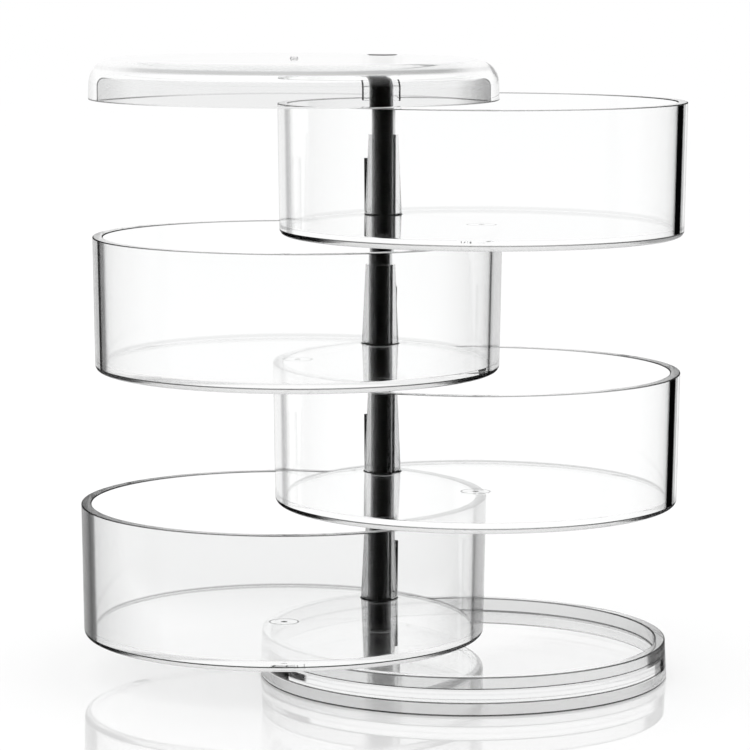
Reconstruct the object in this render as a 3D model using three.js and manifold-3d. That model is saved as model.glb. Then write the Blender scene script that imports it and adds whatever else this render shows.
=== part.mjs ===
// Rotating jewelry box: four clear round trays, a shallow base and a lid, all swinging on one
// off-centre post. Millimetres, +Z up. The origin is on the post's axis, at the plane that the
// base stands on. The viewer's side is -Y, and the trays fan out towards it.

import * as THREE from 'three';
import { mergeVertices } from 'three/addons/utils/BufferGeometryUtils.js';
import Module from 'manifold-3d';

const wasm = await Module();
wasm.setup();

// Clearances
const stackGap = 0.3;        // between a floor and the rim that it slides on
const boreGap = 0.25;        // radial, between the post and whatever turns or sits on it
const seatGap = 0.3;         // between a fixed piece and its seat
const overrun = 1;           // how far a cutter runs past the face that it opens

// Trays: one moulding, used four times
const rimRadius = 50;
const trayWall = 2.5;
const trayDepth = 30.3;
const trayFloor = 2.4;
const trayDraft = 0.5;       // the outside is this much narrower in radius at the floor
const trayInnerDraft = 0.5;
const trayCorner = 1.5;
const trayInnerCorner = 0.3;

// The round gate mark under each floor: a ring cut round a small flush stud
const gateRadius = 3.5;
const gateDepth = 0.5;
const gateStudRadius = 0.7;

// Hub tube that stands on each tray's floor, and the web that ties it to the near wall
const hubHeight = 20.3;
const hubTopWall = 0.5;
const hubFootWall = 1.45;
const webReach = 7.5;        // from the post's axis to the wall's inner face at the floor
const webHeight = 13.85;
const webThickness = 1;
const webRootShare = 0.4;    // how deep in the wall the web ends, as a share of the wall

// Base: a dish above its floor and a recess below it
const baseInset = 0.2;       // the base's rim is this much inside the trays' rims
const baseFlare = 0.5;       // and its foot is this much outside its rim
const baseRim = 2.5;
const baseDish = 3.4;
const baseFloor = 3;
const baseRecess = 2.9;
const baseCorner = 0.5;
const socketWall = 1.5;
const socketFloor = 1.2;

// Lid
const lidDraft = 0.4;
const lidSkirt = 1.9;
const lidCavity = 7.5;
const lidPlate = 2.3;
const lidShoulder = 5.5;
const lidHubWall = 1.6;
const lidHubDrop = 0.7;      // the lid's hub reaches this far below its skirt

// Post and the flat cap that is screwed into its top end
const postRadius = 3.1;
const postChamfer = 0.4;
const capOverlap = 0.35;     // the head's reach over the lid's bore
const capHead = 1;
const capProud = 0.15;
const capEase = 0.2;
const capShankRadius = 1.5;
const capShankLength = 8;

// Directions that the pieces point in, in degrees from the viewer, positive to the right
const baseTurn = 31.2;
const trayTurns = [38.1, -31.5, 36.2, -37.5];
const lidTurn = -33;

// Facets
const rimSides = 72;
const hubSides = 36;
const cornerSteps = 2;
const shoulderSteps = 4;

// Worked-out sizes
const boreRadius = postRadius + boreGap;
const trayHeight = trayDepth + trayFloor;
const trayPitch = trayHeight + stackGap;
const trayFootRadius = rimRadius - trayDraft;
const trayInnerFootRadius = rimRadius - trayWall - trayInnerDraft;
const postOffset = trayInnerFootRadius - webReach;
const baseHeight = baseRecess + baseFloor + baseDish;
const lidHeight = lidCavity + lidPlate;
const lidBottom = baseHeight + trayTurns.length * trayPitch + stackGap;
const lidTop = lidBottom + lidHeight;
const capHeadRadius = boreRadius + capOverlap;
const capSeatDepth = capHead - capProud + seatGap;
const capHeadUnder = lidTop + capProud - capHead;
const postTop = capHeadUnder - seatGap;
const postBottom = socketFloor + seatGap;

// Finishes
const clearAcrylic = new THREE.MeshStandardMaterial({
  color: 0xf4f7f8, roughness: 0.05, metalness: 0, transparent: true, opacity: 0.3,
});
const darkPolishedSteel = new THREE.MeshStandardMaterial({ color: 0x101113, roughness: 0.12, metalness: 0.9 });

// A quarter round of a profile, without its first point
function cornerPoints(centreR, centreZ, radius, fromAngle, toAngle, steps) {
  const points = [];
  for (let step = 1; step <= steps; step += 1) {
    const angle = THREE.MathUtils.lerp(fromAngle, toAngle, step / steps);
    points.push([centreR + radius * Math.cos(angle), centreZ + radius * Math.sin(angle)]);
  }
  return points;
}

// Turns a profile of [radius, height] pairs about the Z axis. A profile starts on the axis at the
// piece's underside, runs out and up the outside, and comes back to the axis over the top.
function turned(profile, sides) {
  const geometry = new THREE.LatheGeometry(profile.map(([r, z]) => new THREE.Vector2(r, z)), sides);
  geometry.rotateX(Math.PI / 2);
  return geometry;
}

function cylinder(radius, bottom, top, sides) {
  return turned([[0, bottom], [radius, bottom], [radius, top], [0, top]], sides);
}

// Merges shared points and drops the collapsed triangles that a lathe leaves on its axis
function solidOf(geometry) {
  const bare = geometry.clone();
  bare.deleteAttribute('normal');
  bare.deleteAttribute('uv');
  const merged = mergeVertices(bare);
  const index = merged.getIndex().array;
  const kept = [];
  for (let i = 0; i < index.length; i += 3) {
    const [a, b, c] = [index[i], index[i + 1], index[i + 2]];
    if (a !== b && b !== c && c !== a) {
      kept.push(a, b, c);
    }
  }
  return new wasm.Manifold(new wasm.Mesh({
    numProp: 3,
    vertProperties: Float32Array.from(merged.getAttribute('position').array),
    triVerts: Uint32Array.from(kept),
  }));
}

function geometryOf(solid) {
  const mesh = solid.getMesh();
  const geometry = new THREE.BufferGeometry();
  geometry.setAttribute('position', new THREE.BufferAttribute(mesh.vertProperties, 3));
  geometry.setIndex(new THREE.BufferAttribute(mesh.triVerts, 1));
  geometry.computeVertexNormals();
  return geometry;
}

// A piece that hangs off-centre on the post: its round outline is centred at postOffset towards -Y
function aroundOutline(geometry) {
  return geometry.translate(0, -postOffset, 0);
}

function hubBore(bottom, top) {
  return solidOf(cylinder(boreRadius, bottom - overrun, top + overrun, hubSides));
}

function trayGeometry() {
  const quarter = Math.PI / 2;
  const shell = solidOf(aroundOutline(turned([
    [0, 0],
    [trayFootRadius - trayCorner, 0],
    ...cornerPoints(trayFootRadius - trayCorner, trayCorner, trayCorner, -quarter, 0, cornerSteps),
    [rimRadius, trayHeight],
    [rimRadius - trayWall, trayHeight],
    [trayInnerFootRadius, trayFloor + trayInnerCorner],
    ...cornerPoints(
      trayInnerFootRadius - trayInnerCorner, trayFloor + trayInnerCorner, trayInnerCorner, 0, -quarter, cornerSteps,
    ),
    [0, trayFloor],
  ], rimSides)));

  const hubTop = trayFloor + hubHeight;
  const hub = solidOf(turned([
    [0, 0],
    [boreRadius + hubFootWall, 0],
    [boreRadius + hubFootWall, trayFloor],
    [boreRadius + hubTopWall, hubTop],
    [0, hubTop],
  ], hubSides));

  const webLength = webReach + trayWall * webRootShare;
  const web = new THREE.BoxGeometry(webThickness, webLength, trayFloor + webHeight);
  web.translate(0, webLength / 2, (trayFloor + webHeight) / 2);

  const gateRing = solidOf(aroundOutline(new THREE.LatheGeometry([
    new THREE.Vector2(gateStudRadius, -overrun),
    new THREE.Vector2(gateRadius, -overrun),
    new THREE.Vector2(gateRadius, gateDepth),
    new THREE.Vector2(gateStudRadius, gateDepth),
    new THREE.Vector2(gateStudRadius, -overrun),
  ], hubSides).rotateX(Math.PI / 2)));

  return geometryOf(shell.add(hub).add(solidOf(web)).subtract(hubBore(0, hubTop)).subtract(gateRing));
}

function baseGeometry() {
  const rim = rimRadius - baseInset;
  const foot = rim + baseFlare;
  const floorTop = baseRecess + baseFloor;
  const dish = solidOf(aroundOutline(turned([
    [0, baseRecess],
    [foot - baseRim, baseRecess],
    [foot - baseRim, 0],
    [foot - baseCorner, 0],
    [foot, baseCorner],
    [rim, baseHeight],
    [rim - baseRim, baseHeight],
    [rim - baseRim, floorTop],
    [0, floorTop],
  ], rimSides)));
  const boss = solidOf(cylinder(boreRadius + socketWall, 0, floorTop, hubSides));
  const socket = solidOf(cylinder(boreRadius, socketFloor, floorTop + overrun, hubSides));
  return geometryOf(dish.add(boss).subtract(socket));
}

function lidGeometry() {
  const quarter = Math.PI / 2;
  const shoulder = Math.min(lidShoulder, lidHeight);
  const innerShoulder = Math.max(shoulder - lidSkirt, lidSkirt);
  const wallTop = rimRadius - lidDraft;
  const shell = solidOf(aroundOutline(turned([
    [0, lidCavity],
    [wallTop - lidSkirt - innerShoulder, lidCavity],
    ...cornerPoints(
      wallTop - lidSkirt - innerShoulder, lidCavity - innerShoulder, innerShoulder, quarter, 0, shoulderSteps,
    ),
    [rimRadius - lidSkirt, 0],
    [rimRadius, 0],
    [wallTop, lidHeight - shoulder],
    ...cornerPoints(wallTop - shoulder, lidHeight - shoulder, shoulder, 0, quarter, shoulderSteps),
    [0, lidHeight],
  ], rimSides)));
  const hub = solidOf(cylinder(boreRadius + lidHubWall, -lidHubDrop, lidHeight - lidPlate / 2, hubSides));
  const capSeat = solidOf(cylinder(
    capHeadRadius + boreGap, lidHeight - capSeatDepth, lidHeight + overrun, hubSides,
  ));
  return geometryOf(shell.add(hub).subtract(hubBore(-lidHubDrop, lidHeight)).subtract(capSeat));
}

function postGeometry() {
  const screwHole = capShankRadius + boreGap;
  const holeBottom = capHeadUnder - capShankLength - seatGap;
  return turned([
    [0, postBottom],
    [postRadius - postChamfer, postBottom],
    [postRadius, postBottom + postChamfer],
    [postRadius, postTop - postChamfer],
    [postRadius - postChamfer, postTop],
    [screwHole, postTop],
    [screwHole, holeBottom],
    [0, holeBottom],
  ], hubSides);
}

function capGeometry() {
  const headTop = lidTop + capProud;
  return turned([
    [0, capHeadUnder - capShankLength],
    [capShankRadius, capHeadUnder - capShankLength],
    [capShankRadius, capHeadUnder],
    [capHeadRadius, capHeadUnder],
    [capHeadRadius, headTop - capEase],
    [capHeadRadius - capEase, headTop],
    [0, headTop],
  ], hubSides);
}

const jewelryBox = new THREE.Group();

// Adds one named piece, raised to its level and swung round the post
function place(name, geometry, finish, level = 0, turn = 0) {
  const mesh = new THREE.Mesh(geometry, finish.clone());
  mesh.name = name;
  mesh.position.z = level;
  const swing = new THREE.Group();
  swing.rotation.z = THREE.MathUtils.degToRad(turn);
  swing.add(mesh);
  jewelryBox.add(swing);
}

place('base', baseGeometry(), clearAcrylic, 0, baseTurn);
place('post', postGeometry(), darkPolishedSteel);

// Tray 1 is the top one
trayTurns.forEach((turn, i) => {
  const level = baseHeight + stackGap + (trayTurns.length - 1 - i) * trayPitch;
  place(`tray_${i + 1}`, trayGeometry(), clearAcrylic, level, turn);
});

place('lid', lidGeometry(), clearAcrylic, lidBottom, lidTurn);
place('post_cap', capGeometry(), darkPolishedSteel);

export default jewelryBox;
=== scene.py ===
# %% [markdown]
# # A rotating jewelry box in clear acrylic
# Four round clear trays, a shallow base and a lid all swing on one dark polished post. The packed
# CAD model is the fixed frame. Every piece is modelled again here with smooth rounds and fine
# edges, sits where its CAD node sits, and rides on the same body.

import math

import bmesh
import bpy
from mathutils import Matrix, Vector


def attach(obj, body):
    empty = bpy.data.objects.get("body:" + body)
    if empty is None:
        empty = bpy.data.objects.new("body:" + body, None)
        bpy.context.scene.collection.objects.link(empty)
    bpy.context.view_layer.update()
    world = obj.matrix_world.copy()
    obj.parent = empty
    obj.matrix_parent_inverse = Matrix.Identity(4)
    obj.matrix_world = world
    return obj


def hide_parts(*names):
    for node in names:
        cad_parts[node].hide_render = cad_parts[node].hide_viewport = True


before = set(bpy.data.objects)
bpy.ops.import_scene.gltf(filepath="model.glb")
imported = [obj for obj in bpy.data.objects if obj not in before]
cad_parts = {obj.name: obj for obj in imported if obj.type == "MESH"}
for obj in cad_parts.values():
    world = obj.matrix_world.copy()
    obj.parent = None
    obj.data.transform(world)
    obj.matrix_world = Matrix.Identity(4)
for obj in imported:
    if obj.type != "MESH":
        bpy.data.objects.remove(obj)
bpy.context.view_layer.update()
print("CAD nodes:", sorted(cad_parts))

# %% [markdown]
# ## Sizes
# The sizes are the real ones, worked out once in millimetres and turned into metres, so that each
# step below reads as a maker would say it. The post's axis is the origin and the trays hang off it
# towards the viewer, which is -Y.

# %% Sizes that several pieces share
MM = 0.001
SIDES = 192
HUB_SIDES = 96

RIM = 50 * MM
TRAY_FOOT = 49.5 * MM
TRAY_HEIGHT = 32.7 * MM
TRAY_WALL = 2.5 * MM
TRAY_DEPTH = 30.3 * MM
TRAY_FLOOR = TRAY_HEIGHT - TRAY_DEPTH
TRAY_INNER_FOOT = 47 * MM
TRAY_LEVELS = [108.6 * MM, 75.6 * MM, 42.6 * MM, 9.6 * MM]
TRAY_TURNS = [38.1, -31.5, 36.2, -37.5]

POST = 3.1 * MM
BORE = 3.35 * MM
POST_AXIS = Vector((0, 0, 0))
OFFSET = 39.5 * MM
OUTLINE = Vector((0, -OFFSET, 0))

THROUGH = 1 * MM     # how far a drill runs past what it cuts
OVERLAP = 0.4 * MM   # how far a joined solid sits inside its partner
NEAR = 0.1 * MM      # how near counts as lying on a surface
print("tray", TRAY_HEIGHT / MM, "mm high, floor", round(TRAY_FLOOR / MM, 2), "mm")

# %% [markdown]
# ## Working by hand
# Modelling by operators acts on whatever is selected, so each step first clears the selection,
# then picks faces or edges by where they are. Typed lists of vertices would be shorter for a
# machine, but nobody could follow them, so the helpers keep to what a modeller does: add a solid,
# pick, inset, sink, round off, join and drill.

# %% Helpers that add and pick
SAME_LEVEL = 0.02 * MM
SAME_RADIUS = 0.06 * MM


def choose(piece):
    """Makes a piece the only selected one and the active one."""
    bpy.ops.object.select_all(action="DESELECT")
    piece.select_set(True)
    bpy.context.view_layer.objects.active = piece


def apply_place(piece):
    """Moves a piece's place, turn and scale into its mesh."""
    choose(piece)
    bpy.ops.object.transform_apply(location=True, rotation=True, scale=True)


def add(kind, name, **settings):
    """Adds a primitive with its place in its mesh, and names it."""
    if bpy.context.object and bpy.context.object.mode == "EDIT":
        bpy.ops.object.mode_set(mode="OBJECT")
    bpy.ops.object.select_all(action="DESELECT")
    getattr(bpy.ops.mesh, f"primitive_{kind}_add")(**settings)
    piece = bpy.context.object
    piece.name = name
    apply_place(piece)
    return piece


def turn_upright(name, bottom, top, low, high, centre=OUTLINE, sides=SIDES):
    """A cone section that stands on z = low, with the two radii that a draft needs."""
    middle = Vector((centre.x, centre.y, (low + high) / 2))
    return add("cone", name, vertices=sides, radius1=bottom, radius2=top,
               depth=high - low, location=middle)


def pick(piece, what, test):
    """Goes into edit mode with only those faces or edges picked whose place passes the test."""
    bpy.ops.object.mode_set(mode="OBJECT")
    choose(piece)
    bpy.ops.object.mode_set(mode="EDIT")
    bpy.ops.mesh.select_mode(type="FACE" if what == "faces" else "EDGE")
    bpy.ops.mesh.select_all(action="DESELECT")
    mesh = bmesh.from_edit_mesh(piece.data)
    found = [part for part in getattr(mesh, what) if test(part)]
    for part in found:
        part.select_set(True)
    mesh.select_flush_mode()
    bmesh.update_edit_mesh(piece.data)
    return len(found)


def level_face(z, up):
    """A test for a flat face at that height that looks up or down."""
    def is_level(face):
        return abs(face.calc_center_median().z - z) < SAME_LEVEL and face.normal.z * up > 0.99
    return is_level


def ring(radius, z, centre=OUTLINE):
    """A test for the edges of one horizontal ring."""
    def on_ring(edge):
        return all(
            abs(corner.co.z - z) < SAME_LEVEL
            and abs((corner.co.xy - centre.xy).length - radius) < SAME_RADIUS
            for corner in edge.verts
        )
    return on_ring


# %% Helpers that shape
SHARP_FROM = math.radians(32)


def sink(inset, shift):
    """Insets the picked faces and moves the inner ones up or down."""
    bpy.ops.mesh.inset(thickness=inset, depth=0)
    bpy.ops.mesh.extrude_region_move(TRANSFORM_OT_translate={"value": (0, 0, shift)})


def hollow(piece, face_level, up, wall_width, depth, widen=1.0):
    """Insets a flat end by the wall and sinks the inner face by the depth.

    widen scales the sunk face, because the inside of a moulding has a draft of its own.
    """
    pick(piece, "faces", level_face(face_level, up))
    sink(wall_width, -up * depth)
    centre = (OUTLINE.x, OUTLINE.y, face_level)
    bpy.ops.transform.resize(value=(widen, widen, 1), center_override=centre)
    bpy.ops.object.mode_set(mode="OBJECT")


def round_ring(piece, radius, z, width, steps, centre=OUTLINE):
    """Rounds off one horizontal ring of edges."""
    count = pick(piece, "edges", ring(radius, z, centre))
    bpy.ops.mesh.bevel(offset=width, segments=steps, profile=0.5, affect="EDGES")
    bpy.ops.object.mode_set(mode="OBJECT")
    print(f"{piece.name}: rounded {count} edges by {width / MM:.2f} mm")


def combine(piece, tool, operation):
    """Joins a tool solid to a piece or cuts it out, and throws the tool away."""
    choose(piece)
    boolean = piece.modifiers.new("combine", "BOOLEAN")
    boolean.object = tool
    boolean.operation = operation
    boolean.solver = "EXACT"
    bpy.ops.object.modifier_apply(modifier=boolean.name)
    bpy.data.objects.remove(tool)


def bore_out(piece, low, high):
    """Drills the hole that the post passes through."""
    drill = turn_upright("drill", BORE, BORE, low, high, centre=POST_AXIS, sides=HUB_SIDES)
    combine(piece, drill, "DIFFERENCE")


def smooth(piece):
    """Smooth rounds and true flats: the big faces decide how their edges are shaded."""
    choose(piece)
    bpy.ops.object.shade_smooth_by_angle(angle=SHARP_FROM)
    weighted = piece.modifiers.new("true flats", "WEIGHTED_NORMAL")
    weighted.keep_sharp = True
    bpy.ops.object.modifier_apply(modifier=weighted.name)


# %% [markdown]
# ## Shader maths
# A material is a graph of nodes. Writing it as plain sums keeps it readable: one small class wraps
# a socket, so that `1 - mask` adds its own Math node, and one method adds any other node.

# %% Sockets that add up


class Value:
    """A number on a socket that takes part in sums."""

    def __init__(self, graph, socket):
        self.graph = graph
        self.socket = socket

    def math(self, operation, first, second):
        made = self.graph.node("ShaderNodeMath", {"operation": operation}, {0: first, 1: second})
        return Value(self.graph, made.outputs[0])

    def __add__(self, other):
        return self.math("ADD", self, other)

    def __radd__(self, other):
        return self.math("ADD", other, self)

    def __sub__(self, other):
        return self.math("SUBTRACT", self, other)

    def __rsub__(self, other):
        return self.math("SUBTRACT", other, self)

    def __mul__(self, other):
        return self.math("MULTIPLY", self, other)

    def __rmul__(self, other):
        return self.math("MULTIPLY", other, self)

    def __truediv__(self, other):
        return self.math("DIVIDE", self, other)

    def __abs__(self):
        return self.math("ABSOLUTE", self, 0)

    def root(self):
        return self.math("SQRT", self, 0)

    def most(self, other):
        return self.math("MAXIMUM", self, other)


# %% A graph that builds itself


class Graph:
    """A node tree that starts empty, with one method that adds nodes."""

    def __init__(self, owner):
        owner.use_nodes = True
        self.owner = owner
        self.tree = owner.node_tree
        self.tree.nodes.clear()

    def node(self, kind, settings=None, inputs=None):
        made = self.tree.nodes.new(kind)
        for key, value in (settings or {}).items():
            if key == "stops":
                self.set_stops(made.color_ramp, value)
            else:
                setattr(made, key, value)
        for key, value in (inputs or {}).items():
            if isinstance(value, Value):
                self.tree.links.new(value.socket, made.inputs[key])
            elif isinstance(value, bpy.types.NodeSocket):
                self.tree.links.new(value, made.inputs[key])
            else:
                made.inputs[key].default_value = value
        return made

    def set_stops(self, ramp, stops):
        """Fills a colour ramp with (position, amount) stops."""
        ramp.elements.remove(ramp.elements[1])
        for number, (position, shade) in enumerate(sorted(stops)):
            element = ramp.elements.new(position) if number else ramp.elements[0]
            element.position = position
            element.color = (shade, shade, shade, 1)

    def value(self, kind, output, settings=None, inputs=None):
        return Value(self, self.node(kind, settings, inputs).outputs[output])

    def ramp(self, value, stops):
        """Reads an amount off a row of stops."""
        return self.value("ShaderNodeValToRGB", "Color", {"stops": stops}, {"Fac": value})

    def slope(self, value, low, high, start=0.0, end=1.0):
        """Runs smoothly from start to end as the value goes from low to high."""
        limits = {"Value": value, "From Min": low, "From Max": high, "To Min": start, "To Max": end}
        gently = {"interpolation_type": "SMOOTHSTEP"}
        return self.value("ShaderNodeMapRange", "Result", gently, limits)

    def facing(self):
        """0 where the surface faces the eye, 1 at its silhouette."""
        return self.value("ShaderNodeLayerWeight", "Facing", inputs={"Blend": 0.5})

    def place(self, axis):
        """How far along X, Y or Z a point of the piece is, in metres."""
        where = self.node("ShaderNodeTexCoord").outputs["Object"]
        return self.value("ShaderNodeSeparateXYZ", axis, inputs={"Vector": where})

    def normal(self, axis):
        """How much the surface points along X, Y or Z."""
        pointing = self.node("ShaderNodeNewGeometry").outputs["Normal"]
        return self.value("ShaderNodeSeparateXYZ", axis, inputs={"Vector": pointing})

    def away(self, centre):
        """How far a point of the piece is from an upright axis, in metres."""
        out_x = self.place("X") - centre.x
        out_y = self.place("Y") - centre.y
        return (out_x * out_x + out_y * out_y).root()

    def aside(self, centre):
        """How far to the side of an upright axis the eye sees a point of a round wall."""
        up = self.normal("Z")
        towards_eye = (1 - self.facing()) / (1 - up * up).most(0.001).root()
        return self.away(centre) * (1 - towards_eye * towards_eye).most(0).root()

    def blend(self, share, first, second):
        """Goes from the first amount to the second by a share."""
        return first + (second - first) * share

    def ray(self, name):
        """1 for rays of this kind, such as Camera, Glossy or Shadow, and 0 for all others."""
        return self.value("ShaderNodeLightPath", f"Is {name} Ray")

    def mix(self, factor, first, second):
        """Shows the first shader where the factor is 0, and the second where it is 1."""
        return self.node("ShaderNodeMixShader", inputs={0: factor, 1: first, 2: second}).outputs[0]

    def show(self, shader):
        """Makes this shader the one that the owner shows."""
        kind = "World" if isinstance(self.owner, bpy.types.World) else "Material"
        self.node(f"ShaderNodeOutput{kind}", inputs={"Surface": shader})
        return self.owner


# %% [markdown]
# ## Clear acrylic
# Moulded acrylic is nearly invisible against a white background, so what draws it are its edges:
# a curved wall bends the light near its silhouette to places beyond the background, and shows a
# black stripe there. A plain glass shader in a plain white studio can't show that. Black cards
# round the object could, but they would show from the other sides. So painted shade is mixed into
# the same clear shader by how far the surface turns from the eye, and the painted stripe is there
# from every side. Each region of a piece has its own amount of painted shade, and a polished floor
# also mirrors what stands on it.
# region of a piece has its own amount, and a polished floor also mirrors what stands on it.

# %% Clear acrylic
CLEAR_TINT = (0.996, 0.998, 0.998, 1)
# the black of the painted shade that is mixed into the clear acrylic
PAINTED_SHADE_BLACK = (0.002, 0.002, 0.002, 1)
WHITE = (1, 1, 1, 1)
HEAD_ON_GLOSS = (0.005, 0.005, 0.005, 1)
SHADOW_TINT = (0.998, 0.998, 0.998, 1)
ACRYLIC_IOR = 1.49


def acrylic(name, darkness, from_inside=False, gloss=None):
    """Clear acrylic with painted shade mixed in on faces seen from outside, or also from inside.

    darkness takes the graph and gives the share of painted shade; gloss does so for the share that
    is mirrored.
    """
    graph = Graph(bpy.data.materials.new(name))
    clear = graph.node("ShaderNodeBsdfPrincipled", inputs={
        "Base Color": CLEAR_TINT, "Roughness": 0.0, "IOR": ACRYLIC_IOR,
        "Transmission Weight": 1.0, "Specular Tint": HEAD_ON_GLOSS,
    })
    dark = graph.node("ShaderNodeBsdfPrincipled", inputs={
        "Base Color": PAINTED_SHADE_BLACK, "Roughness": 0.4, "Specular IOR Level": 0.0,
    })
    # painted shade: this share of the black shader is mixed over the clear acrylic
    painted_shade = darkness(graph)
    outside = 1 - graph.value("ShaderNodeNewGeometry", "Backfacing")
    if not from_inside:
        painted_shade = painted_shade * outside
    surface = clear.outputs[0]
    if gloss:
        sheen = graph.node("ShaderNodeBsdfGlossy", inputs={"Color": WHITE, "Roughness": 0.0})
        surface = graph.mix(gloss(graph) * outside, surface, sheen.outputs[0])
    shaded = graph.mix(painted_shade, surface, dark.outputs[0])
    lets_light_by = graph.node("ShaderNodeBsdfTransparent", inputs={"Color": SHADOW_TINT})
    return graph.show(graph.mix(graph.ray("Shadow"), shaded, lets_light_by.outputs[0]))


# %% [markdown]
# The painted shade stripe of a wall is given by how deep in from the silhouette it lies, in
# millimetres, because that is how it is seen. A depth is turned into the matching facing value of a
# 50 mm round wall. The room is darker on the right, so the right end of a wall has painted stripes
# of its own. The bottom tray stands in the duller light near the table, so a soft grey painted
# shade lies over its wall.

# %% Painted shade stripes at a wall's silhouette
DULL_LIGHT_FADES = (8 * MM, 23 * MM)
DULL_LIGHT_AT_FOOT = 0.2


def turned_away(depth):
    """The facing value of a round wall this many millimetres in from its silhouette."""
    across = 1 - depth * MM / RIM
    return 1 - math.sqrt(1 - across * across)


def stripes(bands):
    """Stops of a ramp of painted shade over facing, from millimetres in from the silhouette."""
    return [(turned_away(depth), painted_shade) for depth, painted_shade in bands]


# painted shade near the two ends of a wall: millimetres in from the silhouette, and its share
DARK_END = stripes([
    (0, 0.30), (0.25, 0.15), (0.45, 0.05), (0.7, 0.60), (0.85, 0.35), (1.15, 1.0), (2.35, 1.0),
    (2.65, 0.60), (2.95, 0.35), (3.5, 0.22), (5, 0.10), (8, 0.04), (12, 0.0),
])
PALE_END = stripes([
    (0, 0.25), (0.25, 0.10), (1.5, 0.15), (2.1, 0.50), (2.9, 0.35), (3.2, 0.15), (3.8, 0.0),
])
LINED_END = stripes([
    (0, 0.30), (0.3, 0.35), (0.75, 0.50), (1.05, 0.45), (1.25, 0.97), (1.6, 0.97), (1.8, 0.80),
    (2.5, 0.75), (2.8, 0.50), (3.1, 0.30), (3.6, 0.20), (5, 0.14), (8, 0.08), (14, 0.03), (20, 0.0),
])
THIN_END = stripes([
    (0, 0.25), (0.3, 0.30), (1.7, 0.35), (2.2, 0.50), (2.55, 0.96), (2.8, 0.70), (3.1, 0.40),
    (3.5, 0.30), (5, 0.17), (9, 0.07), (14, 0.03), (20, 0.0),
])
GREY_END = stripes([
    (0, 0.40), (0.4, 0.65), (1.1, 0.75), (1.9, 0.88), (2.6, 0.80), (2.9, 0.65), (3.1, 0.40),
    (3.5, 0.33), (5, 0.27), (8, 0.18), (14, 0.08), (22, 0.0),
])
SOFT_END = stripes([
    (0, 0.05), (0.5, 0.45), (1.5, 0.50), (2.2, 0.60), (2.6, 0.75), (2.9, 0.60), (3.1, 0.35),
    (3.5, 0.25), (5, 0.18), (9, 0.11), (14, 0.05), (22, 0.0),
])


def centre_of(turn):
    """The middle of a round outline that hangs off the post at this turn."""
    angle = math.radians(turn)
    return Vector((OFFSET * math.sin(angle), -OFFSET * math.cos(angle), 0))


def from_left(graph, centre, reach, left=0.0, right=1.0):
    """Runs from its amount on a piece's left to its amount on the right, within this reach."""
    return graph.slope(graph.place("X") - centre.x, -reach * RIM, reach * RIM, left, right)


def two_ended(graph, centre, facing, left, right):
    """Stripes that go over from the left end's to the right end's along a wall."""
    to_right = from_left(graph, centre, 0.5)
    return graph.blend(to_right, graph.ramp(facing, left), graph.ramp(facing, right))


def wall(name, centre, level, left, right, dull_light_shade):
    """A wall with its painted stripes, and painted grey for the duller light, thinner at its foot.
    """
    def darkness(graph):
        striped = two_ended(graph, centre, graph.facing(), left, right)
        height = graph.place("Z") - level
        return striped.most(graph.slope(height, *DULL_LIGHT_FADES, DULL_LIGHT_AT_FOOT * dull_light_shade, dull_light_shade))
    return acrylic(name, darkness)


print("a stripe 1.15 mm in begins at facing", round(turned_away(1.15), 3))


# %% [markdown]
# The other regions have their own rules of painted shade. A rim and its fine edges are painted
# greyer towards the two ends. The round corner under a wall is painted with a dark line, a white
# line and a grey band as it turns under, and near the two ends a dark wedge that narrows to the
# line.

# %% Painted shade of rims and corners
# painted shade on the corner by how far it turns under: a dark line, then a grey band
CORNER_LINE = [(0.0, 0.2), (0.04, 1.0), (0.20, 1.0), (0.28, 0.0)]
CORNER_BAND = [(0.22, 0.0), (0.28, 0.5), (0.55, 0.6), (0.90, 0.75), (1.0, 1.0)]
LINE_AT_END = 0.95
WEDGE_GROWS = (0.55, 0.80)
WEDGE_FADES = (0.965, 0.99)


def towards_ends(graph, centre, near, far, start=0.0, end=1.0):
    """Runs from start to end on the way out to both sides, between these shares of the radius."""
    off_middle = abs(graph.place("X") - centre.x)
    return graph.slope(off_middle, near * RIM, far * RIM, start, end)


def rim(name, centre, amounts, start):
    """A rim with its painted shade in the middle and at the left and right ends, which begin at
    start.
    """
    middle, left, right = amounts

    def darkness(graph):
        end = from_left(graph, centre, 0.1, left, right)
        return middle + (end - middle) * towards_ends(graph, centre, start, 1.0)
    return acrylic(name, darkness)


def corner(name, centre, middle, left, right):
    """The round corner under a wall, painted with shade: middle is the line's strength, left and
    right the ends'.
    """
    def darkness(graph):
        down = 0 - graph.normal("Z")
        ends = towards_ends(graph, centre, 0.1, 1.0)
        line = graph.ramp(down, CORNER_LINE) * (middle + (LINE_AT_END - middle) * ends)
        band = graph.ramp(down, CORNER_BAND) * (0.30 + 0.20 * ends)
        grown = towards_ends(graph, centre, *WEDGE_GROWS)
        narrowing = 0.45 * grown
        wedge = grown * graph.slope(down, 0.20 + narrowing, 0.35 + narrowing, 1.0, 0.3)
        strength = from_left(graph, centre, 0.1, left, right)
        fading = towards_ends(graph, centre, *WEDGE_FADES, 1.0, 0.4)
        return line.most(band).most(wedge * strength * fading)
    return acrylic(name, darkness)


# %% [markdown]
# Inside a tray, the wall's foot has a soft grey band of painted shade, and the bore has painted
# shade where it passes through the floor. The floor is polished: seen at a low angle it mirrors the
# hub. How much of that shows differs from tray to tray with what stands below it, so each floor has
# its share. The gate mark lies under the floor; its ring and dot are painted as shade on the floor
# above it, where they are seen.

# %% Painted shade of floors and bores, and the floors' polish
WIDEST = 10 * MM
FULL_POLISH = 0.85
DISH_POLISH = (0.95, 0.32)
# the gate mark's painted ring and dot, by distance from the tray's middle
GATE_RING = [
    (0.0, 0.85), (0.7, 0.85), (0.9, 0.0), (3.25, 0.0), (3.4, 0.45), (3.7, 0.45), (3.85, 0.0),
]


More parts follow.
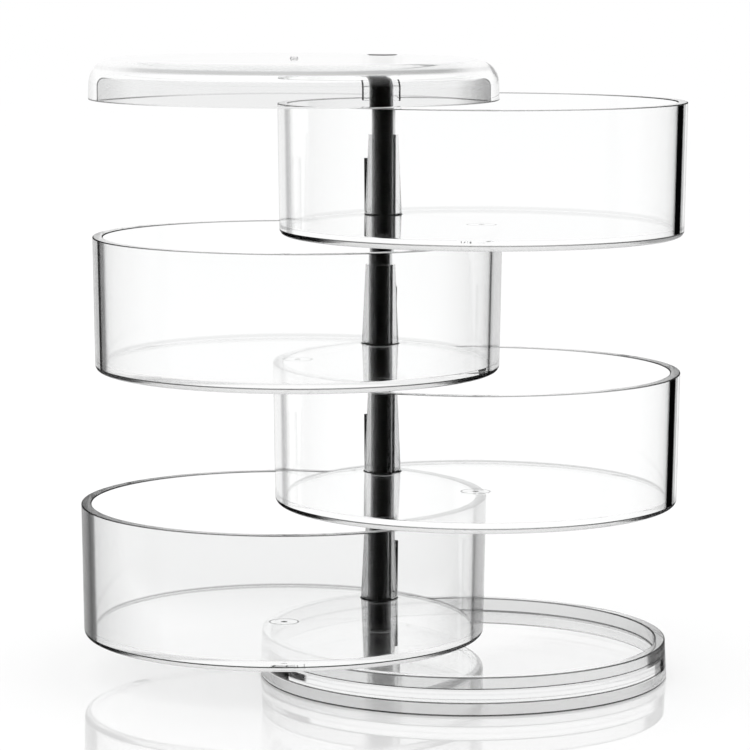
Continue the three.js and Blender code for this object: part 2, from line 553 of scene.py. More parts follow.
def asides(bands):
    """Stops of a ramp over a distance from an axis, from millimetres."""
    return [(distance * MM / WIDEST, painted_shade) for distance, painted_shade in bands]


def inner_foot(name, floor_level, grey, height):
    """The inside of a wall, with a soft grey band of painted shade where it runs into the floor."""
    def darkness(graph):
        return graph.slope(graph.place("Z") - floor_level, 0.4 * height, height, grey, 0.0)
    return acrylic(name, darkness)


def bore(name, low, high):
    """A bore with painted shade where it passes through a floor or a top and its clearance traps
    the light.
    """
    def darkness(graph):
        height = graph.place("Z")
        above = graph.slope(height, low - NEAR, low + NEAR)
        return above * graph.slope(height, high - NEAR, high + NEAR, 0.95, 0.0)
    return acrylic(name, darkness, from_inside=True)


def polished(graph):
    """How much a polished face mirrors, which grows as it turns from the eye."""
    return graph.slope(graph.facing(), 0.45, 0.80, 0.0, FULL_POLISH)


def dish_gloss(graph):
    """The base's floor is polished, and more so round the post."""
    return polished(graph) * graph.slope(graph.away(POST_AXIS), 35 * MM, 55 * MM, *DISH_POLISH)


def inner_floor(name, centre, mark, gloss):
    """A polished floor that shows the gate mark below it as a painted ring with a dot."""
    def darkness(graph):
        return mark * graph.ramp(graph.away(centre) / WIDEST, asides(GATE_RING))
    return acrylic(name, darkness, gloss=lambda graph: polished(graph) * gloss)


# %% [markdown]
# A hub has painted shade: soft grey on its left and a thin dark line on its right. They keep
# their distance from the post's axis whatever the hub's taper, so here the ramps run over the
# distance to the side at which the eye sees a point, and not over how far the surface turns.

# %% Painted shade of hubs
HUB_LEFT = asides([(2.2, 0.0), (2.7, 0.9), (3.6, 1.0), (4.2, 0.9), (4.8, 1.0)])
LID_HUB_SIDES = asides([(4.45, 0.0), (4.6, 0.97), (5.0, 0.97)])


def hub_wall(name, left_grey, right_grey):
    """A hub's outside, with the painted greys of its two sides."""
    hub_right = asides([
        (2.4, 0.0), (2.55, 0.95), (3.1, 0.95), (3.3, right_grey), (4.1, right_grey),
        (4.5, 0.50), (4.8, 0.30),
    ])

    def darkness(graph):
        aside = graph.aside(POST_AXIS) / WIDEST
        left = graph.ramp(aside, HUB_LEFT) * left_grey
        to_right = graph.slope(graph.place("X"), -1 * MM, 1 * MM)
        return graph.blend(to_right, left, graph.ramp(aside, hub_right))
    return acrylic(name, darkness)


# painted shade: dark lines at the two sides of the lid's hub
def lid_hub_darkness(graph):
    return graph.ramp(graph.aside(POST_AXIS) / WIDEST, LID_HUB_SIDES)


# %% [markdown]
# The rest is shared by all pieces: nearly no painted shade on plain insides, and an even painted
# shade on the small faces that trap the light, such as the web's edges or the base's inner step.

# %% Painted shade that all pieces share


# a trace of painted shade where a surface turns edge-on
def faint(graph):
    return graph.slope(graph.facing(), 0.94, 1.0, 0.0, 0.04)


def even(name, head_on, edge_on, from_inside=False):
    """The same painted shade all over, and a little more where the surface turns from the eye."""
    def darkness(graph):
        return graph.slope(graph.facing(), 0.0, 1.0, head_on, edge_on)
    return acrylic(name, darkness, from_inside)


# the shared materials with their painted shade; ceiling and dish also mirror
plain = {
    "ceiling": acrylic("clear_acrylic_ceiling", faint, gloss=polished),
    "dish": acrylic("clear_acrylic_dish", faint, gloss=dish_gloss),
    "inside": acrylic("clear_acrylic_inside", faint),
    "lid_hub": acrylic("clear_acrylic_lid_hub", lid_hub_darkness),
    "shaded": even("clear_acrylic_shaded", 0.26, 0.36),
    "line": even("clear_acrylic_line", 0.85, 0.92),
    "web": even("clear_acrylic_web", 0.90, 0.97, from_inside=True),
    "gate": even("clear_acrylic_gate", 0.0, 0.01),
    "step": even("clear_acrylic_step", 0.74, 0.82, from_inside=True),
    "socket": even("clear_acrylic_socket", 0.92, 0.98, from_inside=True),
}
print("shared finishes:", sorted(plain))

# %% Helpers that give a piece its materials, with their painted shade


def sort_faces(piece, region):
    """Notes which material each face takes, by its place and by where it points."""
    names = []
    for face in piece.data.polygons:
        away = face.center.xy - OUTLINE.xy
        out = away.normalized().dot(face.normal.xy) if away.length else 0
        names.append(region(face.center, away.length, out, face.normal.z))
    kinds = sorted(set(names))
    for face, name in zip(piece.data.polygons, names):
        face.material_index = kinds.index(name)
    print(f"{piece.name}:", {kind: names.count(kind) for kind in kinds})
    return kinds


def dress(piece, kinds, own):
    """Gives a piece its materials with their painted shade: its own, and those that all pieces
    share.
    """
    for kind in kinds:
        piece.data.materials.append(own[kind] if kind in own else plain[kind])


def place(piece, name, level, turn):
    """Names a piece, raises it to its level and swings it round the post."""
    piece.name = piece.data.name = name
    piece.location = (0, 0, level)
    piece.rotation_euler = (0, 0, math.radians(turn))
    apply_place(piece)


def hand_over(piece, node, body):
    """The piece stands for a CAD node, whose own mesh is hidden, and moves with its body."""
    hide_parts(node)
    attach(piece, body)


# %% [markdown]
# ## One tray, used four times
# Each tray is one moulding: a drafted wall, a flat floor, a tapered hub tube for the post with a
# thin web that ties it to the wall, and a round gate mark under the floor. A lathe profile would
# also do, but the hub is off-centre, so the cup comes from a cone section that is inset and sunk,
# and the hub and web are joined to it before the bore is drilled.

# %% The tray's cup
CORNER = 1.5 * MM
INNER_CORNER = 0.3 * MM
RIM_EDGE = 0.25 * MM

tray = turn_upright("tray", TRAY_FOOT, RIM, 0, TRAY_HEIGHT)
hollow(tray, TRAY_HEIGHT, 1, TRAY_WALL, TRAY_DEPTH, widen=TRAY_INNER_FOOT / (RIM - TRAY_WALL))
round_ring(tray, TRAY_FOOT, 0, CORNER, 5)
round_ring(tray, TRAY_INNER_FOOT, TRAY_FLOOR, INNER_CORNER, 2)
round_ring(tray, RIM, TRAY_HEIGHT, RIM_EDGE, 3)
round_ring(tray, RIM - TRAY_WALL, TRAY_HEIGHT, RIM_EDGE, 3)
print("cup:", len(tray.data.polygons), "faces")

# %% [markdown]
# The gate mark is where the plastic was let into the mould: a shallow round recess with a stud in
# its middle. Two more insets of the bottom face make it, with no new solid.

# %% The gate mark under the floor
GATE = 3.5 * MM
GATE_STUD = 0.7 * MM
GATE_DEPTH = 0.5 * MM

pick(tray, "faces", level_face(0, -1))
sink(TRAY_FOOT - CORNER - GATE, GATE_DEPTH)
sink(GATE - GATE_STUD, -GATE_DEPTH)
bpy.ops.object.mode_set(mode="OBJECT")
print("with gate mark:", len(tray.data.polygons), "faces")

# %% [markdown]
# The hub has a draft of its own and stands off the cup's middle, so it is a second cone section,
# and the web is a thin box. Pulling both out of the floor would need the floor cut up first; two
# exact booleans join them with no seam. The foot of the hub is then rounded, as a mould has it,
# and the bore is drilled last, so that it passes through hub and floor alike.

# %% The hub tube and its web
HUB_FOOT = BORE + 1.45 * MM
HUB_TIP = BORE + 0.5 * MM
HUB_TOP = TRAY_FLOOR + 20.3 * MM
HUB_ROUND = 0.3 * MM
WEB_THICKNESS = 1 * MM
WEB_REACH = 8.5 * MM
WEB_HEIGHT = 14.1 * MM
WEB_MIDDLE = 9.2 * MM
WEB_ROOT = 6.6 * MM

hub = turn_upright("hub", HUB_FOOT, HUB_TIP, TRAY_FLOOR - OVERLAP, HUB_TOP,
                   centre=POST_AXIS, sides=HUB_SIDES)
web = add("cube", "web", size=1, location=(0, WEB_REACH / 2, WEB_MIDDLE),
          scale=(WEB_THICKNESS, WEB_REACH, WEB_HEIGHT))
pick(web, "faces", lambda face: True)
bpy.ops.mesh.bisect(plane_co=(0, WEB_ROOT, 0), plane_no=(0, 1, 0))
bpy.ops.object.mode_set(mode="OBJECT")
combine(tray, hub, "UNION")
combine(tray, web, "UNION")
round_ring(tray, HUB_FOOT, TRAY_FLOOR, HUB_ROUND, 2, centre=POST_AXIS)
bore_out(tray, -THROUGH, HUB_TOP + THROUGH)
print("with hub and web:", len(tray.data.polygons), "faces")

# %% [markdown]
# The faces of the tray are sorted by their place and by where they point: outer wall, inner wall,
# rim, corner, hub, web, gate mark, floor, the bore, and the rest. Each region then takes a material
# with its own painted shade.

# %% The tray's regions
WEB_FACE = 0.6 * MM            # how far from its middle plane a face of the web may lie
HUB_OUTSIDE = BORE + 1.8 * MM  # the hub with its rounded foot


def tray_region(at, radius, out, up):
    from_post = at.xy.length
    if radius > RIM - TRAY_WALL - NEAR and at.z > TRAY_HEIGHT - RIM_EDGE:
        return "rim" if up > 0.98 else "rim_line"
    if radius > TRAY_FOOT - CORNER and up < -0.02 and at.z < CORNER:
        return "corner"
    if radius > TRAY_FOOT - 2 * NEAR and out > 0.9:
        return "wall"
    if radius > TRAY_INNER_FOOT - 2 * NEAR and out < -0.9:
        return "inner_wall"
    if radius < GATE + 2 * NEAR and at.z < GATE_DEPTH and abs(up) < 0.5:
        return "gate"
    beside_web = abs(at.x) < WEB_FACE and WEB_ROOT < at.y < TRAY_INNER_FOOT - OFFSET + WEB_FACE
    if at.z > TRAY_FLOOR and beside_web:
        return "web"
    if from_post < BORE + NEAR:
        return "bore"
    if up > 0.98 and at.z < TRAY_FLOOR + NEAR:
        return "floor"
    if BORE + NEAR < from_post < HUB_OUTSIDE and at.z > TRAY_FLOOR:
        return "line" if 0.1 < up < 0.99 else "hub"
    return "inside"


smooth(tray)
tray_kinds = sort_faces(tray, tray_region)

# %% [markdown]
# The finished tray is copied for each level. A copy gets its own mesh, is raised to its level and
# swung round the post, and its place is then applied to the mesh, because a piece's object stays
# at the origin. The four differ only in how much of the room each one shows, so every row below
# holds the amounts of painted shade of one tray, and its floor's gloss. ends and hub are left and
# right; rim, rim_line and corner are middle, left and right; foot is the painted grey at the
# inside's foot and how high it reaches.

# %% Four trays on the post
TRAY_LOOKS = [
    {"ends": (PALE_END, DARK_END), "dull_light_shade": 0.0, "foot": (0.11, 1.2 * MM), "hub": (0.40, 0.15),
     "rim": (0.02, 0.05, 0.14), "rim_line": (0.52, 0.55, 0.94), "corner": (0.56, 0.99, 0.60),
     "gate_mark": 0.55, "gloss": 1.0},
    {"ends": (LINED_END, THIN_END), "dull_light_shade": 0.02, "foot": (0.14, 1.3 * MM), "hub": (0.40, 0.28),
     "rim": (0.02, 0.18, 0.10), "rim_line": (0.55, 0.97, 0.80), "corner": (0.72, 0.94, 0.98),
     "gate_mark": 0.5, "gloss": 0.15},
    {"ends": (PALE_END, DARK_END), "dull_light_shade": 0.0, "foot": (0.34, 0.8 * MM), "hub": (0.50, 0.42),
     "rim": (0.05, 0.20, 0.50), "rim_line": (0.52, 0.70, 0.95), "corner": (0.60, 0.99, 0.96),
     "gate_mark": 0.9, "gloss": 0.15},
    {"ends": (GREY_END, SOFT_END), "dull_light_shade": 0.14, "foot": (0.42, 0.8 * MM), "hub": (0.56, 0.52),
     "rim": (0.28, 0.70, 0.70), "rim_line": (0.75, 0.97, 0.90), "corner": (0.92, 0.98, 0.92),
     "gate_mark": 1.0, "gloss": 0.70},
]

trays = [tray]
for _ in TRAY_LEVELS[1:]:
    choose(tray)
    bpy.ops.object.duplicate(linked=False)
    trays.append(bpy.context.object)
for number, (piece, level, turn, looks) in enumerate(
        zip(trays, TRAY_LEVELS, TRAY_TURNS, TRAY_LOOKS), start=1):
    name = f"clear_tray_{number}"
    centre = centre_of(turn)
    place(piece, name, level, turn)
    dress(piece, tray_kinds, {
        "wall": wall(f"{name}_wall", centre, level, *looks["ends"], looks["dull_light_shade"]),
        "inner_wall": inner_foot(f"{name}_inner_wall", level + TRAY_FLOOR, *looks["foot"]),
        "rim": rim(f"{name}_rim", centre, looks["rim"], start=0.25),
        "rim_line": rim(f"{name}_rim_line", centre, looks["rim_line"], start=0.40),
        "corner": corner(f"{name}_corner", centre, *looks["corner"]),
        "bore": bore(f"{name}_bore", level - THROUGH, level + TRAY_FLOOR),
        "floor": inner_floor(f"{name}_floor", centre, looks["gate_mark"], looks["gloss"]),
        "hub": hub_wall(f"{name}_hub", *looks["hub"]),
    })
    hand_over(piece, f"tray_{number}", f"tray_{number}")
print("trays:", [piece.name for piece in trays])

# %% [markdown]
# ## Base
# The base is a shallow clear dish on a skirt. Its floor carries a blind socket for the post. It
# could be two rings and a disc joined together, but that leaves seams, so it is made like the
# tray, from one cone section that is hollowed from both ends.

# %% The base
BASE_RIM = 49.8 * MM
BASE_FOOT = 50.3 * MM
BASE_HEIGHT = 9.3 * MM
BASE_FLOOR = 5.9 * MM
BASE_WALL = 2.5 * MM
DISH_DEPTH = 3.4 * MM
SKIRT_DEPTH = 2.9 * MM
BASE_EDGE = 0.3 * MM
FOOT_EDGE = 0.5 * MM
SOCKET_BOSS = 4.85 * MM
SOCKET_BOTTOM = 1.2 * MM
BASE_TURN = 31.2

base = turn_upright("base_dish", BASE_FOOT, BASE_RIM, 0, BASE_HEIGHT)
hollow(base, BASE_HEIGHT, 1, BASE_WALL, DISH_DEPTH)
hollow(base, 0, -1, BASE_WALL, SKIRT_DEPTH)
round_ring(base, BASE_FOOT, 0, FOOT_EDGE, 3)
round_ring(base, BASE_RIM, BASE_HEIGHT, BASE_EDGE, 3)
round_ring(base, BASE_RIM - BASE_WALL, BASE_HEIGHT, BASE_EDGE, 3)
round_ring(base, BASE_RIM - BASE_WALL, BASE_FLOOR, BASE_EDGE, 3)
round_ring(base, BASE_FOOT - BASE_WALL, SKIRT_DEPTH, BASE_EDGE, 3)
boss = turn_upright("boss", SOCKET_BOSS, SOCKET_BOSS, 0, BASE_FLOOR - OVERLAP,
                    centre=POST_AXIS, sides=HUB_SIDES)
combine(base, boss, "UNION")
bore_out(base, SOCKET_BOTTOM, BASE_FLOOR + THROUGH)
print("base:", len(base.data.polygons), "faces")

# %% The base's regions
BASE_INNER = BASE_RIM - 3.2 * MM


def base_region(at, radius, out, up):
    slanted = 0.03 < abs(up) < 0.98
    if radius > BASE_RIM - BASE_WALL - NEAR and at.z > BASE_HEIGHT - BASE_EDGE:
        return "rim_line" if slanted else "rim"
    if at.z < FOOT_EDGE and slanted and out > 0:
        return "line"
    if radius > BASE_RIM - 2 * NEAR and out > 0.9:
        return "wall"
    if radius > BASE_INNER and slanted:
        return "step"
    if radius > BASE_INNER and out < -0.9 and at.z > BASE_FLOOR:
        return "shaded"
    if at.xy.length < BORE + NEAR and at.z < BASE_FLOOR:
        return "socket"
    if up > 0.98 and at.z > BASE_FLOOR - NEAR:
        return "dish"
    return "inside"


smooth(base)
base_kinds = sort_faces(base, base_region)
place(base, "clear_base", 0, BASE_TURN)

# %% [markdown]
# The base's wall is too low for long stripes. Its floor splits its painted shade in three: a grey
# band above the floor, which darkens at the right end; a bright band with two fine painted lines,
# where the light runs through the floor, and a painted dark patch for the post's image near the
# left end; and a grey band below.

# %% The base's painted shade
UPPER_LEFT = stripes([(0, 0.35), (0.5, 0.45), (2.4, 0.40), (2.8, 0.22), (13, 0.18)])
UPPER_RIGHT = stripes([
    (0, 0.45), (0.4, 0.85), (3.2, 0.85), (4.1, 0.70), (4.6, 0.28), (7, 0.20), (13, 0.18),
])
MIDDLE_LEFT = stripes([
    (0, 0.30), (0.5, 0.40), (2.4, 0.35), (2.9, 0.10), (3.2, 0.35), (5, 0.60), (6.2, 0.90),
    (10.4, 0.93), (11.2, 0.08), (13, 0.0),
])
MIDDLE_RIGHT = stripes([
    (0, 0.30), (0.3, 0.70), (0.7, 0.97), (1.1, 0.97), (1.5, 0.65), (2.4, 0.60), (2.8, 0.12),
    (8, 0.0),
])
LOWER_END = stripes([(0, 0.40), (2.6, 0.40), (5, 0.28), (10, 0.20)])
MIDDLE_GREY = 0.08
# where the painted patch of the post's image fades at its bottom, and two fine painted lines
PATCH_BOTTOM = (4.1 * MM, 4.4 * MM)
FINE_LINES = [(5.2 * MM, 0.22), (4.05 * MM, 0.32)]


def fine_line(graph, height, level, painted_shade):
    """A soft thin line of painted shade along a wall, at one level."""
    return graph.slope(abs(height - level), 0.06 * MM, 0.20 * MM, painted_shade, 0.0)


def base_wall(name, centre):
    """The base's outer wall, with its three bands of painted shade."""
    def darkness(graph):
        facing = graph.facing()
        height = graph.place("Z")
        upper = two_ended(graph, centre, facing, UPPER_LEFT, UPPER_RIGHT)
        left = graph.ramp(facing, MIDDLE_LEFT) * graph.slope(height, *PATCH_BOTTOM, 0.1, 1.0)
        right = graph.ramp(facing, MIDDLE_RIGHT)
        middle = graph.blend(from_left(graph, centre, 0.5), left, right).most(MIDDLE_GREY)
        for level, painted_shade in FINE_LINES:
            middle = middle.most(fine_line(graph, height, level, painted_shade))
        above = graph.slope(height, BASE_FLOOR - NEAR, BASE_FLOOR + NEAR)
        below = graph.slope(height, SKIRT_DEPTH - NEAR, SKIRT_DEPTH + NEAR, 1.0, 0.0)
        over_skirt = graph.blend(above, middle, upper)
        return graph.blend(below, over_skirt, graph.ramp(facing, LOWER_END))
    return acrylic(name, darkness)


base_centre = centre_of(BASE_TURN)
dress(base, base_kinds, {
    "wall": base_wall("clear_base_wall", base_centre),
    "rim": rim("clear_base_rim", base_centre, (0.03, 0.14, 0.45), start=0.70),
    "rim_line": rim("clear_base_rim_line", base_centre, (0.72, 0.90, 0.90), start=0.50),
})
hand_over(base, "base", "stand")
print("base finishes:", len(base.data.materials))

# %% [markdown]
# ## Lid
# The lid is a shallow cover with a broad rounded shoulder, a short hub inside that the post passes
# through, a seat in its top for the post's cap, and the low nub that the sprue left in the middle,
# where the plastic was let in. A lathe profile would give the shoulder too, but one wide bevel of
# the top ring does the same in one step, and a smaller one inside keeps the wall even.

# %% The lid
LID_BOTTOM = 141.6 * MM
LID_HEIGHT = 9.8 * MM
LID_TOP = 49.6 * MM
LID_SKIRT = 1.9 * MM
LID_CAVITY = 7.5 * MM
LID_EDGE = 0.3 * MM
SHOULDER = 5.5 * MM
INNER_SHOULDER = 3.6 * MM
LID_HUB = 4.95 * MM
LID_HUB_DROP = 0.7 * MM
CAP_SEAT = 3.95 * MM
CAP_SEAT_DEPTH = 1.15 * MM
LID_TURN = -33

lid = turn_upright("lid_cover", RIM, LID_TOP, 0, LID_HEIGHT)
hollow(lid, 0, -1, LID_SKIRT, LID_CAVITY, widen=(LID_TOP - LID_SKIRT) / (RIM - LID_SKIRT))
round_ring(lid, LID_TOP, LID_HEIGHT, SHOULDER, 12)
round_ring(lid, LID_TOP - LID_SKIRT, LID_CAVITY, INNER_SHOULDER, 10)
round_ring(lid, RIM, 0, LID_EDGE, 3)
round_ring(lid, RIM - LID_SKIRT, 0, LID_EDGE, 3)
lid_hub = turn_upright("lid_hub", LID_HUB, LID_HUB, -LID_HUB_DROP, LID_CAVITY + THROUGH,
                       centre=POST_AXIS, sides=HUB_SIDES)
combine(lid, lid_hub, "UNION")
round_ring(lid, LID_HUB, LID_CAVITY, HUB_ROUND, 2, centre=POST_AXIS)
bore_out(lid, -2 * THROUGH, LID_HEIGHT + THROUGH)
seat = turn_upright("cap_seat", CAP_SEAT, CAP_SEAT, LID_HEIGHT - CAP_SEAT_DEPTH,
                    LID_HEIGHT + THROUGH, centre=POST_AXIS, sides=HUB_SIDES)
combine(lid, seat, "DIFFERENCE")
print("lid:", len(lid.data.polygons), "faces")

# %% The sprue's nub on the lid
SPRUE_FOOT = 1.15 * MM
SPRUE_TIP = 0.85 * MM
SPRUE_HEIGHT = 0.5 * MM
SPRUE_SUNK = 0.3 * MM

sprue = turn_upright("sprue", SPRUE_FOOT, SPRUE_TIP, LID_HEIGHT - SPRUE_SUNK,
                     LID_HEIGHT + SPRUE_HEIGHT, sides=32)
combine(lid, sprue, "UNION")
print("with sprue:", len(lid.data.polygons), "faces")

# %% The lid's regions
LID_LIP = RIM - 2.2 * MM
LID_HUB_OUTSIDE = 5.5 * MM


def lid_region(at, radius, out, up):
    if at.z < LID_EDGE and radius > LID_LIP:
        return "rim_line" if abs(up) < 0.98 else "rim"
    if abs(at.z - LID_CAVITY) < NEAR / 2 and up < -0.99:
        return "ceiling"
    if at.xy.length < BORE + NEAR and abs(up) < 0.5:
        return "inside"
    if at.z > LID_HEIGHT and abs(up) < 0.98:
        return "sprue"
    if at.xy.length < LID_HUB_OUTSIDE and at.z < LID_CAVITY and -0.99 < up < 0.5:
        return "lid_hub" if abs(up) < 0.1 else "line"
    shoulder = at.z > LID_CAVITY and up > 0 and radius > LID_TOP - SHOULDER - NEAR
    if radius > LID_TOP - LID_SKIRT / 2 or shoulder:
        return "cover" if out > 0 else "inside"
    return "inside"


smooth(lid)
lid_kinds = sort_faces(lid, lid_region)
place(lid, "clear_lid", LID_BOTTOM, LID_TURN)

# %% [markdown]
# A lid of clear plastic is drawn by its hollow, here in painted shade: a fine outline where the
# inner wall and its round corner stand behind the outer ones, grey inside that outline near the two
# ends, and one soft grey line along the shoulder.

# %% The lid's painted shade
CEILING_SEEN = 5.8 * MM   # below LID_CAVITY, because the shoulder bends the light
HOLLOW_CORNER = 2.0 * MM
HOLLOW_SIDE = LID_TOP - LID_SKIRT - HOLLOW_CORNER
HOLLOW_TOP = LID_BOTTOM + CEILING_SEEN - HOLLOW_CORNER
OUTLINE_DARKENS = (43 * MM, 47 * MM)
INSIDE_GREYS = (38 * MM, 47.5 * MM)
SHOULDER_THINS = (34 * MM, 44 * MM)
EDGE_GREYS = (47.6 * MM, RIM)
SHOULDER_LINE = [(0.58, 0.0), (0.64, 0.28), (0.74, 0.32), (0.80, 0.10), (0.90, 0.04), (1.0, 0.03)]


def lid_cover(name, centre):
    """The lid's outside, with the painted outline and greys of the hollow behind it."""
    def darkness(graph):
        aside = graph.aside(centre)
        beside = (aside - HOLLOW_SIDE).most(0)
        above = (graph.place("Z") - HOLLOW_TOP).most(0)
        from_corner = (beside * beside + above * above).root()
        inner = graph.slope(from_corner, HOLLOW_CORNER - 0.25 * MM, HOLLOW_CORNER - 0.05 * MM)
        outer = graph.slope(from_corner, HOLLOW_CORNER, HOLLOW_CORNER + 0.2 * MM)
        outline = (inner - outer) * graph.slope(aside, *OUTLINE_DARKENS, 0.16, 0.85)
        hollow_end = from_left(graph, centre, 0.5, 0.16, 0.45)
        inside = (1 - inner) * (0.13 + graph.slope(aside, *INSIDE_GREYS) * hollow_end)
        rightwards = graph.slope(graph.place("X") - centre.x, 0, RIM, 1.0, 1.8)
        thinning = graph.slope(aside, *SHOULDER_THINS, 1.0, 0.25)
        shoulder = graph.ramp(graph.normal("Z"), SHOULDER_LINE) * thinning * rightwards
        edge = graph.slope(aside, *EDGE_GREYS, 0.0, 0.16)
        return outline.most(inside).most(shoulder).most(edge)
    return acrylic(name, darkness)


lid_centre = centre_of(LID_TURN)
dress(lid, lid_kinds, {
    "sprue": even("clear_lid_sprue", 0.20, 0.50),
    "cover": lid_cover("clear_lid_cover", lid_centre),
    "rim": rim("clear_lid_rim", lid_centre, (0.02, 0.14, 0.14), start=0.70),
    "rim_line": rim("clear_lid_rim_line", lid_centre, (0.14, 0.80, 0.80), start=0.50),
})
hand_over(lid, "lid", "lid")
print("lid finishes:", len(lid.data.materials))

# %% [markdown]
# ## Dark polished post and cap
# A polished dark rod mirrors the room: black where it faces the dark side that the viewer stands
# in, and pale in a narrow band at each silhouette, where it mirrors the background at a grazing
# angle. That reflection is painted into its colour, which rises with how far the surface turns from
# the eye, sooner and more softly on the left. Under the lid and on the cap the painted reflection
# is weaker, as there is less of the room to mirror.

# %% Dark polished steel
# painted reflection: the rod's colour by how far it turns from the eye, on its left and its right
LEFT_SHEEN = [
    (0.0, 0.0005), (0.03, 0.003), (0.085, 0.012), (0.17, 0.028), (0.25, 0.040), (0.31, 0.055),
    (0.41, 0.16), (0.54, 0.30), (0.75, 0.42), (1.0, 0.60),
]
RIGHT_SHEEN = [
    (0.0, 0.0005), (0.05, 0.001), (0.10, 0.006), (0.17, 0.014), (0.25, 0.024), (0.31, 0.05),
    (0.36, 0.14), (0.42, 0.50), (0.55, 0.60), (1.0, 0.70),
]
UNDER_LID = (134 * MM, 141 * MM)


def dark_steel(name, mirror):
    """Dark polished steel with a painted reflection. mirror takes the graph and gives the colour
    that paints it.
    """
    graph = Graph(bpy.data.materials.new(name))
    body = graph.node("ShaderNodeBsdfPrincipled", inputs={
        "Base Color": mirror(graph), "Metallic": 1.0, "Roughness": 0.06,
    })
    return graph.show(body.outputs[0])


# painted reflection on the post, dimmed under the lid
def post_painted_reflection(graph):
    facing = graph.facing()
    to_right = graph.slope(graph.place("X"), -0.3 * MM, 0.3 * MM)
    left, right = graph.ramp(facing, LEFT_SHEEN), graph.ramp(facing, RIGHT_SHEEN)
    return graph.blend(to_right, left, right) * graph.slope(graph.place("Z"), *UNDER_LID, 1.0, 0.30)


# painted reflection on the cap, brighter towards its edge
def cap_painted_reflection(graph):
    return graph.slope(graph.facing(), 0.2, 1.0, 0.004, 0.06)


post_steel = dark_steel("dark_polished_steel", post_painted_reflection)
cap_steel = dark_steel("dark_polished_cap", cap_painted_reflection)
print("steel:", post_steel.name, cap_steel.name)

# %% [markdown]
# The post is one turned rod with chamfered ends and a hole in its top for the cap's shank. The
# cap is a flat disc whose shank is drawn out of its underside. Both could be joined from two
# cylinders, but an inset and a pull of the end face keeps each one a single clean solid.

# %% The post
POST_BOTTOM = 1.5 * MM
POST_TOP = 150.25 * MM
POST_EDGE = 0.4 * MM
TAPPED = 1.75 * MM
SHANK_LENGTH = 8 * MM

post = turn_upright("dark_post", POST, POST, POST_BOTTOM, POST_TOP,
                    centre=POST_AXIS, sides=HUB_SIDES)
round_ring(post, POST, POST_BOTTOM, POST_EDGE, 3, centre=POST_AXIS)
round_ring(post, POST, POST_TOP, POST_EDGE, 3, centre=POST_AXIS)
pick(post, "faces", level_face(POST_TOP, 1))
sink(POST - POST_EDGE - TAPPED, -SHANK_LENGTH)
bpy.ops.object.mode_set(mode="OBJECT")
smooth(post)
post.data.materials.append(post_steel)
hand_over(post, "post", "stand")
print("post:", round((POST_TOP - POST_BOTTOM) / MM, 2), "mm long")

# %% The flat cap
CAP_UNDER = 150.55 * MM
CAP_TOP = 151.55 * MM
CAP_HEAD = 3.7 * MM
CAP_EDGE = 0.2 * MM
SHANK = 1.5 * MM

cap = turn_upright("dark_post_cap", CAP_HEAD, CAP_HEAD, CAP_UNDER, CAP_TOP,
                   centre=POST_AXIS, sides=HUB_SIDES)
round_ring(cap, CAP_HEAD, CAP_TOP, CAP_EDGE, 3, centre=POST_AXIS)
pick(cap, "faces", level_face(CAP_UNDER, -1))
sink(CAP_HEAD - SHANK, -SHANK_LENGTH)
bpy.ops.object.mode_set(mode="OBJECT")
smooth(cap)
cap.data.materials.append(cap_steel)
hand_over(cap, "post_cap", "stand")
print("cap:", len(cap.data.polygons), "faces")

# %% [markdown]
# ## Studio
# The photograph is high key: a white glossy table runs into a white background. The floor is pale
# and keeps the object's soft shadow and a faint mirror image. What the eye sees of it, straight or
# through the acrylic, is lifted to white by a little light of its own that doesn't reach the
# object. A backdrop curve would do the same for one view only. The world is white near the horizon
# and darker overhead, and a broad soft lamp above gives the shadow under the object. The lamp
# isn't mirrored or seen through the acrylic, since its square would show there.

# %% The floor
FLOOR_PALE = 0.72
WORLD_LIGHT = 0.95
TABLE_GLOSS = 0.30
TABLE_RADIUS = 30

floor = add("circle", "floor", vertices=64, radius=TABLE_RADIUS, fill_type="NGON",
            location=(0, 0, 0))
ground = Graph(bpy.data.materials.new("white_table"))
seen = ground.ray("Camera").most(ground.ray("Glossy")).most(ground.ray("Transmission"))
matt = ground.node("ShaderNodeBsdfDiffuse", inputs={
    "Color": (FLOOR_PALE, FLOOR_PALE, FLOOR_PALE, 1),
})
lift = ground.node("ShaderNodeEmission", inputs={"Strength": 1.0 - FLOOR_PALE * WORLD_LIGHT})
lifted = ground.node("ShaderNodeAddShader", inputs={0: matt.outputs[0], 1: lift.outputs[0]})
table = ground.mix(seen, matt.outputs[0], lifted.outputs[0])
mirror = ground.node("ShaderNodeBsdfGlossy", inputs={"Color": WHITE, "Roughness": 0.02})
floor.data.materials.append(ground.show(ground.mix(TABLE_GLOSS, table, mirror.outputs[0])))
print("floor:", floor.name)

# %% The world
ZENITH = 0.85

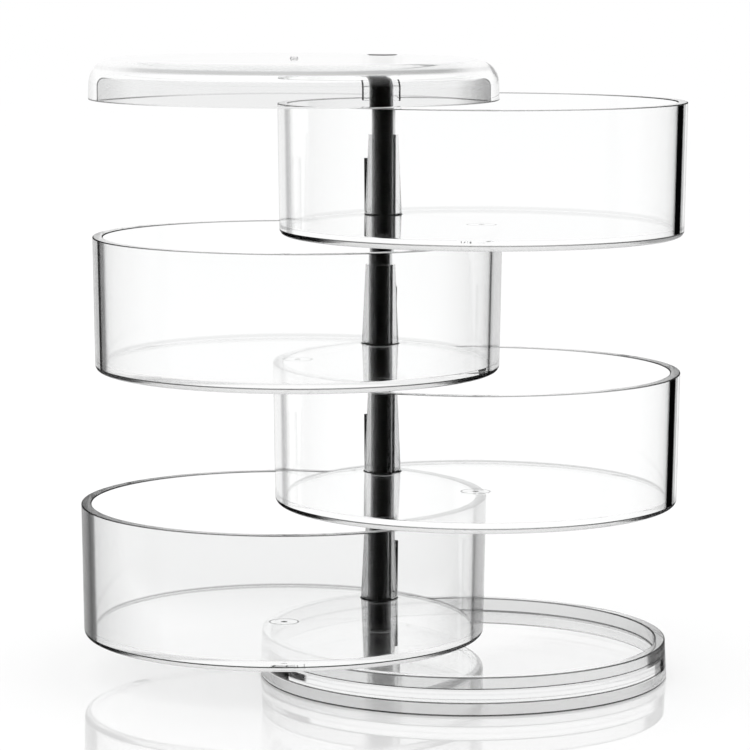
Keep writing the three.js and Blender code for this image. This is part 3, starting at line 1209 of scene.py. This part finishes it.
world = bpy.data.worlds.new("white_studio")
bpy.context.scene.world = world
sky = Graph(world)
upwards = sky.value("ShaderNodeSeparateXYZ", "Z", inputs={
    "Vector": sky.node("ShaderNodeTexCoord").outputs["Generated"],
})
dome = sky.slope(upwards, 0.25, 0.9, 1.0, ZENITH)
direct = sky.ray("Camera")
mirrored = sky.ray("Glossy").most(sky.ray("Transmission"))
strength = direct + (1 - direct) * (mirrored * dome + (1 - mirrored) * WORLD_LIGHT)
background = sky.node("ShaderNodeBackground", inputs={"Color": WHITE, "Strength": strength})
sky.show(background.outputs[0])
print("world:", world.name)

# %% A broad soft lamp overhead
LAMP_SIZE = 1.5
LAMP_WATTS = 2.5
LAMP_PLACE = Vector((-0.3, -0.3, 1.2))

lamp = bpy.data.objects.new("soft_overhead", bpy.data.lights.new("soft_overhead", "AREA"))
lamp.data.shape = "SQUARE"
lamp.data.size = LAMP_SIZE
lamp.data.energy = LAMP_WATTS
lamp.location = LAMP_PLACE
lamp.rotation_euler = LAMP_PLACE.to_track_quat("Z", "Y").to_euler()
lamp.visible_glossy = False
lamp.visible_transmission = False
bpy.context.scene.collection.objects.link(lamp)
print("lamp at", tuple(round(c, 2) for c in lamp.location))

# %% [markdown]
# ## Camera
# The camera stands where the photograph was taken from: far off with a long lens, a little above
# the top tray, looking slightly down. Its place and lens come from a fit to the rims of the trays
# and the base, whose round shape is known.

# %% The camera
PITCH = 7.238
ROLL = 0.169
LENS_PIXELS = 3347.4
PICTURE = 750
SENSOR = 36
CAMERA_PLACE = (-1.62 * MM, -849.45 * MM, 177.66 * MM)

camera = bpy.data.objects.new("camera", bpy.data.cameras.new("camera"))
camera.data.sensor_width = SENSOR
camera.data.lens = LENS_PIXELS * SENSOR / PICTURE
camera.location = CAMERA_PLACE
pitched = Matrix.Rotation(math.radians(90 - PITCH), 4, "X")
tilt = pitched @ Matrix.Rotation(math.radians(ROLL), 4, "Z")
camera.rotation_euler = tilt.to_euler()
bpy.context.scene.collection.objects.link(camera)
bpy.context.scene.camera = camera
print("lens", round(camera.data.lens, 1), "mm")

# %% [markdown]
# Light that goes through four trays and a lid crosses dozens of clear surfaces. With the usual
# limits it would be cut off and leave black spots, so it is followed much further here.

# %% How the light is followed
LONG_WAY = 128

scene = bpy.context.scene
scene.view_settings.view_transform = "Standard"
scene.cycles.max_bounces = LONG_WAY
scene.cycles.transmission_bounces = LONG_WAY
scene.cycles.glossy_bounces = LONG_WAY
scene.cycles.transparent_max_bounces = 64
print("bounces:", scene.cycles.max_bounces)
